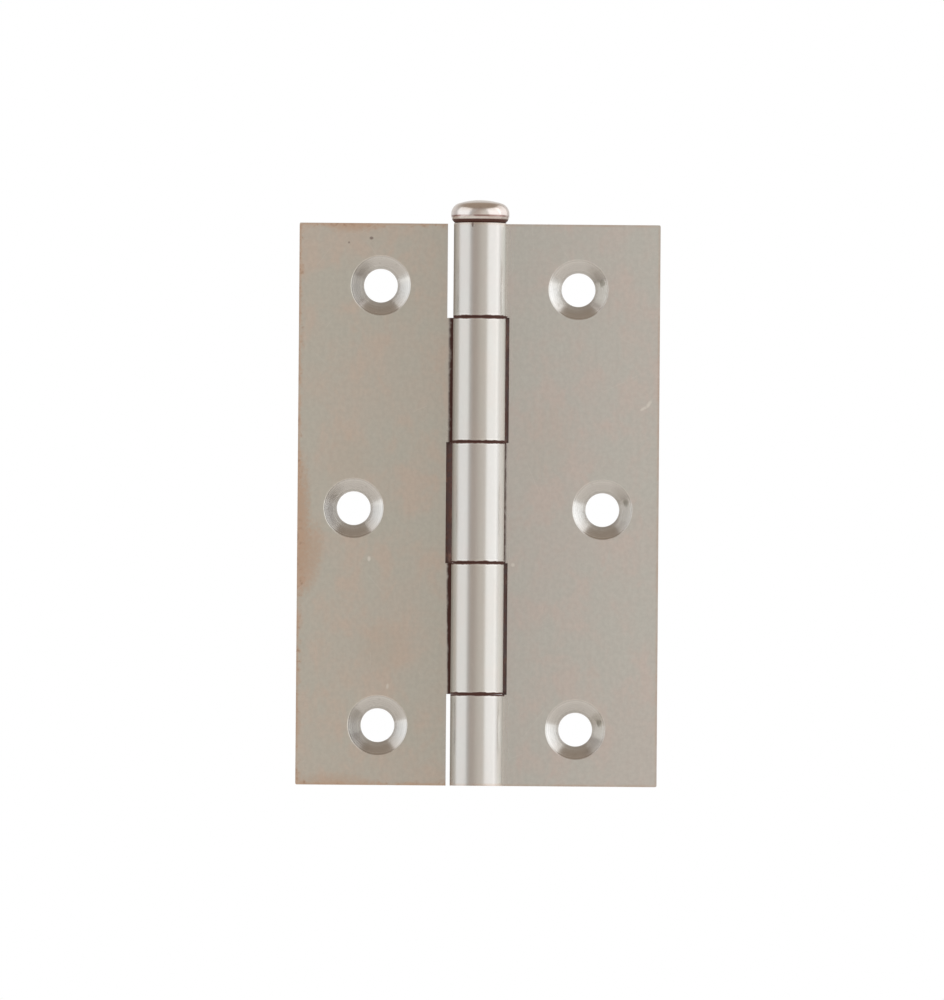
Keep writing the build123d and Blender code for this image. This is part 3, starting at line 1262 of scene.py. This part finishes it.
def lay_floor():
    """A pale floor that lights the hinge from below and is plain white to the camera."""
    bm = bmesh.new()
    bmesh.ops.create_grid(bm, x_segments=1, y_segments=1, size=floor_half)
    bmesh.ops.translate(bm, verts=bm.verts, vec=(0, 0, floor_z))
    mesh = bpy.data.meshes.new("pale_floor")
    bm.to_mesh(mesh)
    bm.free()
    floor = bpy.data.objects.new("pale_floor", mesh)
    bpy.context.scene.collection.objects.link(floor)
    material = bpy.data.materials.new("pale_floor")
    material.use_nodes = True
    tree = material.node_tree
    tree.nodes.clear()
    matt = node(tree, "BsdfDiffuse", {"Color": (0.80, 0.78, 0.75, 1)})
    lift = node(tree, "Emission", {"Color": (1, 0.97, 0.93, 1), "Strength": 0.24})
    lit = node(tree, "AddShader", {0: matt.outputs[0], 1: lift.outputs[0]})
    white = node(tree, "Emission", {"Color": (1, 1, 1, 1), "Strength": 1.0})
    seen = tree.nodes.new("ShaderNodeLightPath").outputs["Is Camera Ray"]
    mixed = node(tree, "MixShader", {0: seen, 1: lit.outputs[0], 2: white.outputs[0]})
    output = tree.nodes.new("ShaderNodeOutputMaterial")
    tree.links.new(mixed.outputs[0], output.inputs[0])
    mesh.materials.append(material)


lay_floor()
print("floor", 2 * floor_half, "m wide at z =", floor_z)


# %% Room
def build_room():
    """A neutral room with a warm grey card in front, which the camera itself sees as white."""
    world = bpy.data.worlds.new("calm_room")
    bpy.context.scene.world = world
    world.use_nodes = True
    tree = world.node_tree
    tree.nodes.clear()
    direction = tree.nodes.new("ShaderNodeTexCoord").outputs["Generated"]
    side, depth, up = node(tree, "SeparateXYZ", {0: direction}).outputs
    walls = tint(tree, ramp(tree, side, -0.9, 0.9), (0.58, 0.58, 0.58, 1), (0.80, 0.80, 0.80, 1))
    walls = tint(tree, ramp(tree, depth, 0.1, 0.8), walls, (0.78, 0.76, 0.74, 1))
    card = tint(
        tree, ramp(tree, side, -0.40, 0.30), (0.53, 0.46, 0.41, 1), (0.79, 0.745, 0.685, 1)
    )
    card = node(
        tree, "HueSaturation", {"Color": card, "Value": ramp(tree, up, 0.10, -0.06, 0.93, 1.07)}
    ).outputs[0]
    in_card = ramp(tree, calc(tree, "MULTIPLY", depth, -1.0), 0.72, 0.90)
    air = tint(tree, in_card, walls, card)
    air = tint(tree, ramp(tree, up, 0.25, 0.9), air, (0.36, 0.29, 0.23, 1))
    air = tint(tree, ramp(tree, up, 0.02, -0.35), air, (0.84, 0.81, 0.77, 1))
    seen = tree.nodes.new("ShaderNodeLightPath").outputs["Is Camera Ray"]
    colour = tint(tree, seen, air, (1, 1, 1, 1))
    background = node(tree, "Background", {"Color": colour, "Strength": 1.0})
    output = tree.nodes.new("ShaderNodeOutputWorld")
    tree.links.new(background.outputs[0], output.inputs[0])


build_room()
print("room", bpy.context.scene.world.name)

# %% Soft panels
middle = Vector((0, 0, leaf_height / 2 * MM))
panel_lift = math.radians(18)  # the panels hang higher than the hinge and look down on it
panel_distance = 1.0
panel_height = 1.3
PANEL_WHITE = (0.98, 0.99, 1.0)


def soft_panel(name, azimuth, width, radiance):
    """A panel that faces the hinge; azimuth is measured from the front towards +X."""
    turn = math.radians(azimuth)
    flat = panel_distance * math.cos(panel_lift)
    up = panel_distance * math.sin(panel_lift)
    place = middle + Vector((flat * math.sin(turn), -flat * math.cos(turn), up))
    light = bpy.data.lights.new(name, "AREA")
    light.shape = "RECTANGLE"
    light.size = width
    light.size_y = panel_height
    light.color = PANEL_WHITE
    light.energy = radiance * math.pi * width * panel_height
    panel = bpy.data.objects.new(name, light)
    panel.location = place
    panel.rotation_euler = (middle - place).to_track_quat("-Z", "Y").to_euler()
    panel.visible_camera = False
    bpy.context.scene.collection.objects.link(panel)
    print(name, "at", [round(v, 2) for v in place])


soft_panel("left_panel", azimuth=-73.5, width=1.16, radiance=0.57)
soft_panel("right_panel", azimuth=61.5, width=1.06, radiance=0.58)
soft_panel("right_fill", azimuth=108, width=0.96, radiance=0.46)

# %% Camera
view_distance = 2.0
tilt = math.radians(1.2)  # the camera looks very slightly upwards
lean = math.radians(0.45)  # and is turned a little about its own line of sight
view_height = 0.13345  # how much height the view spans at the leaves' front
aim_offset = Vector((-0.00081, 0, 0.00063))
camera_data = bpy.data.cameras.new("camera")
camera_data.sensor_width = 36.0
camera_data.lens = camera_data.sensor_width * view_distance / view_height
camera = bpy.data.objects.new("camera", camera_data)
aim_at = middle + aim_offset + Vector((0, front_y * MM, 0))
camera.matrix_world = (
    Matrix.Translation(aim_at)
    @ Matrix.Rotation(math.radians(90) + tilt, 4, "X")
    @ Matrix.Rotation(lean, 4, "Z")
    @ Matrix.Translation((0, 0, view_distance))
)
bpy.context.scene.collection.objects.link(camera)
bpy.context.scene.camera = camera
bpy.context.scene.view_settings.view_transform = "Standard"
print("camera", view_distance, "m away, lens", round(camera_data.lens), "mm")
